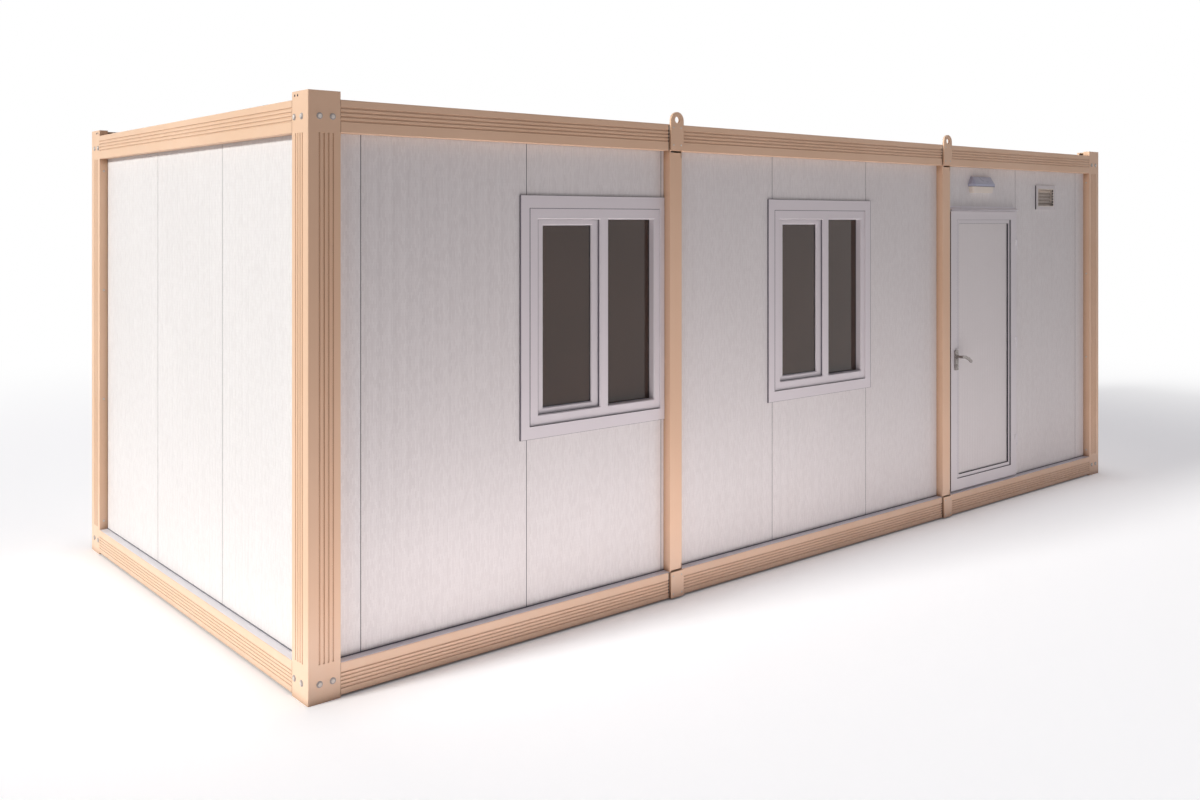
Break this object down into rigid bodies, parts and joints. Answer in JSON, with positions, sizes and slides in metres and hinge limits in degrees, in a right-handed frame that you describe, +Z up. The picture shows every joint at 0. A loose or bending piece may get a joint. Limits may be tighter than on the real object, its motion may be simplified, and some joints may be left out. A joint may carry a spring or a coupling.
{
  "type": "portable site cabin",
  "caption": "Flat-pack site cabin: folded steel frame with ribbed rails and lifting lugs, sandwich panel walls, tinted windows and a hinged door with lever.",
  "frame": {"origin": "centre of the footprint on the ground", "axes": "+X along the cabin, to the right as seen from the front; -Y is the front with door and windows; +Z up"},
  "size_m": [7, 3.0445, 2.6539],
  "materials": {
    "frame_paint": "satin paint, light tan",
    "panel_sheet": "matt white, finely ribbed",
    "flashing_sheet": "satin white",
    "galvanised_steel": "galvanised",
    "floor_board": "matt covering",
    "ceiling_board": "matt white",
    "window_profile": "satin white",
    "tinted_glass": "tinted brown",
    "door_profile": "satin white",
    "door_panel": "matt white, finely ribbed",
    "hinge_steel": "satin",
    "handle_metal": "satin",
    "lamp_plastic": "satin white",
    "lamp_diffuser": "ribbed, milky",
    "vent_plastic": "matt"
  },
  "bodies": {
    "cabin": {"corner_post_front_left": "frame_paint", "corner_post_front_right": "frame_paint", "corner_post_rear_left": "frame_paint", "corner_post_rear_right": "frame_paint", "front_mid_posts": "frame_paint", "rear_mid_posts": "frame_paint", "front_lifting_lugs": "frame_paint", "rear_lifting_lugs": "frame_paint", "front_bottom_rail": "frame_paint", "rear_bottom_rail": "frame_paint", "front_top_rail": "frame_paint", "rear_top_rail": "frame_paint", "left_bottom_rail": "frame_paint", "right_bottom_rail": "frame_paint", "left_top_rail": "frame_paint", "right_top_rail": "frame_paint", "base_joint_plates": "frame_paint", "front_wall_panels": "panel_sheet", "window_wall_panels": "panel_sheet", "door_head_panel": "panel_sheet", "vent_wall_panels": "panel_sheet", "rear_wall_panels": "panel_sheet", "left_wall_panels": "panel_sheet", "right_wall_panels": "panel_sheet", "sill_flashings": "flashing_sheet", "floor_joists": "galvanised_steel", "roof_purlins": "galvanised_steel", "roof_sheet": "galvanised_steel", "floor_deck": "floor_board", "ceiling_lining": "ceiling_board", "window_frames": "window_profile", "window_sashes": "window_profile", "window_trims": "window_profile", "window_glass": "tinted_glass", "door_frame": "door_profile", "door_drip_cap": "flashing_sheet", "hinge_frame_halves": "hinge_steel", "lamp_hood": "lamp_plastic", "lamp_diffuser": "lamp_diffuser", "vent_grille": "vent_plastic"},
    "door": {"door_leaf": "door_profile", "door_infill": "door_panel", "hinge_leaf_halves": "hinge_steel", "door_handle_plates": "handle_metal"},
    "lever": {"door_lever": "handle_metal"}
  },
  "joints": [
    {"name": "door_hinge", "type": "hinge", "parent": "cabin", "child": "door", "pos_m": [2.28, -1.4675, 1.15], "axis": [0, 0, 1], "range_deg": [0, 110]},
    {"name": "lever_turn", "type": "hinge", "parent": "door", "child": "lever", "pos_m": [1.457, -1.472, 1.105], "axis": [0, 1, 0], "range_deg": [0, 40], "stiffness_Nm_per_rad": 1, "springref_deg": -20.05}
  ]
}
